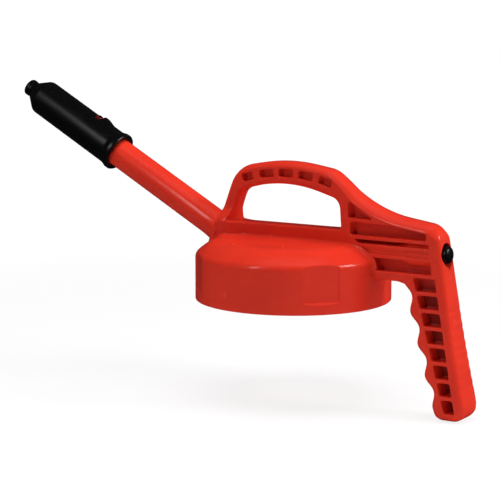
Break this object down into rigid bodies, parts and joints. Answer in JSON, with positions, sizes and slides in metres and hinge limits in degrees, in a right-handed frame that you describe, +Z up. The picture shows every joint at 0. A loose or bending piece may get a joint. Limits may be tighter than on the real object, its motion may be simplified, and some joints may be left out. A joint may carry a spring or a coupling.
{
  "type": "pouring lid",
  "caption": "Screw-on drum pouring lid with a long angled spout, twist shut-off nozzle, ribbed carry loop, pistol grip with finger grooves and a sprung thumb button for the air vent.",
  "frame": {"origin": "on the cap's axis, in the plane of the skirt's lower rim, where the drum's neck enters", "axes": "+Z up along the cap's axis, +X from the spout towards the pistol grip, Y across the handle's plane of symmetry"},
  "size_m": [0.3397, 0.125, 0.1974],
  "materials": {
    "red_moulding": "satin red-orange moulded polyethylene",
    "black_moulding": "semi-gloss black moulded plastic",
    "rubber": "matte black nitrile",
    "spring_steel": "drawn spring wire"
  },
  "bodies": {
    "lid": {"lid_cap": "red_moulding", "lid_gasket": "rubber", "handle_frame": "red_moulding", "spout_tube": "red_moulding", "spout_guide_peg": "red_moulding", "plug_spider": "red_moulding", "plug_pin": "red_moulding", "plug_seal": "rubber", "spout_seal_front": "rubber", "spout_seal_rear": "rubber", "vent_bush": "black_moulding", "vent_bush_seal": "rubber", "vent_spring": "spring_steel"},
    "nozzle_carrier": {"nozzle_wiper_ring": "rubber"},
    "nozzle": {"nozzle_sleeve": "black_moulding"},
    "vent_plunger": {"vent_button": "black_moulding", "vent_stem": "black_moulding", "vent_valve_seal": "rubber"}
  },
  "joints": [
    {"name": "nozzle_travel", "type": "slide", "parent": "lid", "child": "nozzle_carrier", "axis": [0.8755, 0, -0.4833], "range_m": [0, 0.008]},
    {"name": "nozzle_twist", "type": "hinge", "parent": "nozzle_carrier", "child": "nozzle", "pos_m": [-0.16841, 0, 0.10423], "axis": [0.8755, 0, -0.4833], "range_deg": [0, 90]},
    {"name": "vent_press", "type": "slide", "parent": "lid", "child": "vent_plunger", "axis": [-1, 0, 0], "range_m": [0, 0.003], "stiffness_N_per_m": 600, "springref_m": -0.002, "deforming": ["vent_spring"]}
  ],
  "couplings": [
    {"joint": "nozzle_twist", "follows": "nozzle_travel", "rad_per_m": 196.35}
  ]
}
